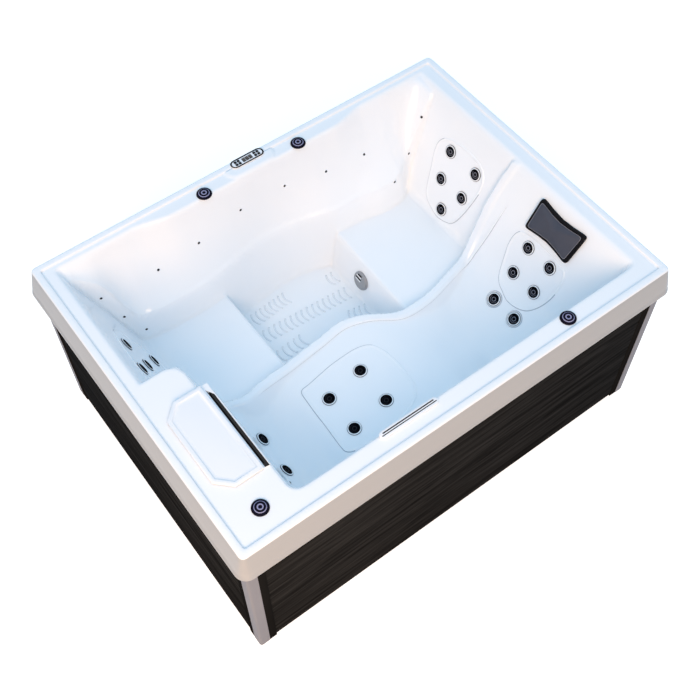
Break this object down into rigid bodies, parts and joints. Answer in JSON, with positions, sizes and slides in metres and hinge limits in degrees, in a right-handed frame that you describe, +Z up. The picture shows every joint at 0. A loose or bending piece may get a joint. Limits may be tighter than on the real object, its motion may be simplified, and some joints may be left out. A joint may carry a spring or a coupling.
{
  "type": "acrylic hot tub",
  "caption": "Rectangular acrylic hot tub with facing seats around a footwell, a full-length lounger, turning jets, a skimmer with a lift-off lid, a control panel and a panelled cabinet.",
  "frame": {"origin": "centre of the base on the floor", "axes": "+X along the length towards the lounger's pillow, +Y towards the side with the control panel, +Z up"},
  "size_m": [2.1, 1.58, 0.9328],
  "materials": {
    "white_acrylic": "gloss",
    "white_plastic": "satin",
    "dark_jet_plastic": "gloss",
    "black_plastic": "matte",
    "grey_plastic": "satin",
    "cabinet_board": "faint wood grain",
    "corner_post_plastic": "satin",
    "pillow_foam": "soft skinned foam",
    "display_window": "gloss",
    "white_pipe": "satin",
    "frame_metal": "galvanised",
    "pump_paint": "satin",
    "filter_fleece": "pleated fleece"
  },
  "bodies": {
    "tub": {"tub_shell": "white_acrylic", "head_pillow": "pillow_foam", "suction_cover": "grey_plastic", "waterfall_spout": "white_plastic", "skimmer_housing": "black_plastic", "control_panel": "white_plastic", "display_window": "display_window", "front_panel": "cabinet_board", "right_panel": "cabinet_board", "back_panel": "cabinet_board", "left_panel": "cabinet_board", "corner_post_back_right": "corner_post_plastic", "corner_post_back_left": "corner_post_plastic", "corner_post_front_left": "corner_post_plastic", "corner_post_front_right": "corner_post_plastic", "base_pan": "black_plastic", "support_frame": "frame_metal", "jet_pump": "pump_paint", "suction_pipe": "white_pipe", "control_pack": "grey_plastic", "return_pipe": "white_pipe"},
    "right_seat_jet_1": {"right_seat_jet_1": "dark_jet_plastic"},
    "right_seat_jet_2": {"right_seat_jet_2": "dark_jet_plastic"},
    "right_seat_jet_3": {"right_seat_jet_3": "dark_jet_plastic"},
    "right_seat_jet_4": {"right_seat_jet_4": "dark_jet_plastic"},
    "right_seat_jet_5": {"right_seat_jet_5": "dark_jet_plastic"},
    "left_seat_jet_1": {"left_seat_jet_1": "dark_jet_plastic"},
    "left_seat_jet_2": {"left_seat_jet_2": "dark_jet_plastic"},
    "left_seat_jet_3": {"left_seat_jet_3": "dark_jet_plastic"},
    "left_seat_jet_4": {"left_seat_jet_4": "dark_jet_plastic"},
    "left_seat_jet_5": {"left_seat_jet_5": "dark_jet_plastic"},
    "lounge_back_jet_1": {"lounge_back_jet_1": "dark_jet_plastic"},
    "lounge_back_jet_2": {"lounge_back_jet_2": "dark_jet_plastic"},
    "lounge_back_jet_3": {"lounge_back_jet_3": "dark_jet_plastic"},
    "lounge_back_jet_4": {"lounge_back_jet_4": "dark_jet_plastic"},
    "lounge_back_jet_5": {"lounge_back_jet_5": "dark_jet_plastic"},
    "lounge_back_jet_6": {"lounge_back_jet_6": "dark_jet_plastic"},
    "calf_jet_1": {"calf_jet_1": "dark_jet_plastic"},
    "calf_jet_2": {"calf_jet_2": "dark_jet_plastic"},
    "calf_jet_3": {"calf_jet_3": "dark_jet_plastic"},
    "calf_jet_4": {"calf_jet_4": "dark_jet_plastic"},
    "foot_jet_1": {"foot_jet_1": "dark_jet_plastic"},
    "foot_jet_2": {"foot_jet_2": "dark_jet_plastic"},
    "valve_knob_1": {"valve_knob_1": "dark_jet_plastic"},
    "valve_knob_2": {"valve_knob_2": "dark_jet_plastic"},
    "valve_knob_3": {"valve_knob_3": "dark_jet_plastic"},
    "valve_knob_4": {"valve_knob_4": "dark_jet_plastic"},
    "filter_lid": {"filter_lid": "white_plastic"},
    "weir_flap": {"weir_flap": "white_plastic"},
    "filter_cartridge": {"filter_cartridge": "filter_fleece"},
    "button_1": {"button_1": "black_plastic"},
    "button_2": {"button_2": "black_plastic"},
    "button_3": {"button_3": "black_plastic"},
    "button_4": {"button_4": "black_plastic"},
    "button_5": {"button_5": "black_plastic"},
    "button_6": {"button_6": "black_plastic"},
    "button_7": {"button_7": "black_plastic"},
    "button_8": {"button_8": "black_plastic"}
  },
  "joints": [
    {"name": "right_seat_jet_1_turn", "type": "hinge", "parent": "tub", "child": "right_seat_jet_1", "pos_m": [0.84735, 0.37209, 0.73507], "axis": [-0.9205, 0, 0.3907], "range_deg": [0, 120]},
    {"name": "right_seat_jet_2_turn", "type": "hinge", "parent": "tub", "child": "right_seat_jet_2", "pos_m": [0.84735, 0.20066, 0.73507], "axis": [-0.9205, 0, 0.3907], "range_deg": [0, 120]},
    {"name": "right_seat_jet_3_turn", "type": "hinge", "parent": "tub", "child": "right_seat_jet_3", "pos_m": [0.7917, 0.35787, 0.60396], "axis": [-0.9205, 0, 0.3907], "range_deg": [0, 120]},
    {"name": "right_seat_jet_4_turn", "type": "hinge", "parent": "tub", "child": "right_seat_jet_4", "pos_m": [0.7917, 0.21172, 0.60396], "axis": [-0.9205, 0, 0.3907], "range_deg": [0, 120]},
    {"name": "right_seat_jet_5_turn", "type": "hinge", "parent": "tub", "child": "right_seat_jet_5", "pos_m": [0.7434, 0.28598, 0.49018], "axis": [-0.9154, 0, 0.4024], "range_deg": [0, 120]},
    {"name": "left_seat_jet_1_turn", "type": "hinge", "parent": "tub", "child": "left_seat_jet_1", "pos_m": [-0.8547, 0.35313, 0.72883], "axis": [0.9205, 0, 0.3907], "range_deg": [0, 120]},
    {"name": "left_seat_jet_2_turn", "type": "hinge", "parent": "tub", "child": "left_seat_jet_2", "pos_m": [-0.8673, 0.1975, 0.75851], "axis": [0.9205, 0, 0.3907], "range_deg": [0, 120]},
    {"name": "left_seat_jet_3_turn", "type": "hinge", "parent": "tub", "child": "left_seat_jet_3", "pos_m": [-0.82215, 0.26623, 0.65214], "axis": [0.9205, 0, 0.3907], "range_deg": [0, 120]},
    {"name": "left_seat_jet_4_turn", "type": "hinge", "parent": "tub", "child": "left_seat_jet_4", "pos_m": [-0.7623, 0.35787, 0.51114], "axis": [0.9205, 0, 0.3907], "range_deg": [0, 120]},
    {"name": "left_seat_jet_5_turn", "type": "hinge", "parent": "tub", "child": "left_seat_jet_5", "pos_m": [-0.7623, 0.1975, 0.51114], "axis": [0.9205, 0, 0.3907], "range_deg": [0, 120]},
    {"name": "lounge_back_jet_1_turn", "type": "hinge", "parent": "tub", "child": "lounge_back_jet_1", "pos_m": [0.78855, -0.22673, 0.6884], "axis": [-0.8687, 0, 0.4954], "range_deg": [0, 120]},
    {"name": "lounge_back_jet_2_turn", "type": "hinge", "parent": "tub", "child": "lounge_back_jet_2", "pos_m": [0.78855, -0.36182, 0.6884], "axis": [-0.8687, 0, 0.4954], "range_deg": [0, 120]},
    {"name": "lounge_back_jet_3_turn", "type": "hinge", "parent": "tub", "child": "lounge_back_jet_3", "pos_m": [0.7203, -0.2291, 0.57019], "axis": [-0.8214, 0, 0.5703], "range_deg": [0, 120]},
    {"name": "lounge_back_jet_4_turn", "type": "hinge", "parent": "tub", "child": "lounge_back_jet_4", "pos_m": [0.7203, -0.36103, 0.57019], "axis": [-0.8214, 0, 0.5703], "range_deg": [0, 120]},
    {"name": "lounge_back_jet_5_turn", "type": "hinge", "parent": "tub", "child": "lounge_back_jet_5", "pos_m": [0.61845, -0.23621, 0.46284], "axis": [-0.6062, -0.0079, 0.7952], "range_deg": [0, 120]},
    {"name": "lounge_back_jet_6_turn", "type": "hinge", "parent": "tub", "child": "lounge_back_jet_6", "pos_m": [0.61845, -0.36893, 0.46277], "axis": [-0.6087, 0, 0.7934], "range_deg": [0, 120]},
    {"name": "calf_jet_1_turn", "type": "hinge", "parent": "tub", "child": "calf_jet_1", "pos_m": [-0.084, -0.18486, 0.47661], "axis": [-0.1128, -0.0104, 0.9936], "range_deg": [0, 120]},
    {"name": "calf_jet_2_turn", "type": "hinge", "parent": "tub", "child": "calf_jet_2", "pos_m": [-0.26145, -0.2054, 0.45291], "axis": [-0.116, -0.0312, 0.9928], "range_deg": [0, 120]},
    {"name": "calf_jet_3_turn", "type": "hinge", "parent": "tub", "child": "calf_jet_3", "pos_m": [-0.084, -0.36419, 0.47639], "axis": [-0.1157, 0, 0.9933], "range_deg": [0, 120]},
    {"name": "calf_jet_4_turn", "type": "hinge", "parent": "tub", "child": "calf_jet_4", "pos_m": [-0.26145, -0.38078, 0.45239], "axis": [-0.1204, 0, 0.9927], "range_deg": [0, 120]},
    {"name": "foot_jet_1_turn", "type": "hinge", "parent": "tub", "child": "foot_jet_1", "pos_m": [-0.58275, -0.17775, 0.41473], "axis": [0.6795, -0.1381, 0.7205], "range_deg": [0, 120]},
    {"name": "foot_jet_2_turn", "type": "hinge", "parent": "tub", "child": "foot_jet_2", "pos_m": [-0.58275, -0.34997, 0.4074], "axis": [0.7403, 0, 0.6723], "range_deg": [0, 120]},
    {"name": "valve_knob_1_turn", "type": "hinge", "parent": "tub", "child": "valve_knob_1", "pos_m": [-0.2499, 0.68256, 0.918], "axis": [0, 0, 1], "range_deg": [0, 180]},
    {"name": "valve_knob_2_turn", "type": "hinge", "parent": "tub", "child": "valve_knob_2", "pos_m": [0.22995, 0.68256, 0.918], "axis": [0, 0, 1], "range_deg": [0, 180]},
    {"name": "valve_knob_3_turn", "type": "hinge", "parent": "tub", "child": "valve_knob_3", "pos_m": [-0.85995, -0.63516, 0.918], "axis": [0, 0, 1], "range_deg": [0, 120]},
    {"name": "valve_knob_4_turn", "type": "hinge", "parent": "tub", "child": "valve_knob_4", "pos_m": [0.5355, -0.68888, 0.918], "axis": [0, 0, 1], "range_deg": [0, 120]},
    {"name": "lid_lift", "type": "slide", "parent": "tub", "child": "filter_lid", "axis": [0, 0, 1], "range_m": [0, 0.12]},
    {"name": "weir_flap_swing", "type": "hinge", "parent": "tub", "child": "weir_flap", "pos_m": [-0.757, -0.31, 0.866], "axis": [0, -1, 0], "range_deg": [0, 55]},
    {"name": "cartridge_twist", "type": "hinge", "parent": "tub", "child": "filter_cartridge", "pos_m": [-0.8604, -0.31, 0.7393], "axis": [0, 0, 1], "range_deg": [0, 90]},
    {"name": "button_1_press", "type": "slide", "parent": "tub", "child": "button_1", "axis": [0, 0, -1], "range_m": [0, 0.001], "stiffness_N_per_m": 300},
    {"name": "button_2_press", "type": "slide", "parent": "tub", "child": "button_2", "axis": [0, 0, -1], "range_m": [0, 0.001], "stiffness_N_per_m": 300},
    {"name": "button_3_press", "type": "slide", "parent": "tub", "child": "button_3", "axis": [0, 0, -1], "range_m": [0, 0.001], "stiffness_N_per_m": 300},
    {"name": "button_4_press", "type": "slide", "parent": "tub", "child": "button_4", "axis": [0, 0, -1], "range_m": [0, 0.001], "stiffness_N_per_m": 300},
    {"name": "button_5_press", "type": "slide", "parent": "tub", "child": "button_5", "axis": [0, 0, -1], "range_m": [0, 0.001], "stiffness_N_per_m": 300},
    {"name": "button_6_press", "type": "slide", "parent": "tub", "child": "button_6", "axis": [0, 0, -1], "range_m": [0, 0.001], "stiffness_N_per_m": 300},
    {"name": "button_7_press", "type": "slide", "parent": "tub", "child": "button_7", "axis": [0, 0, -1], "range_m": [0, 0.001], "stiffness_N_per_m": 300},
    {"name": "button_8_press", "type": "slide", "parent": "tub", "child": "button_8", "axis": [0, 0, -1], "range_m": [0, 0.001], "stiffness_N_per_m": 300}
  ]
}
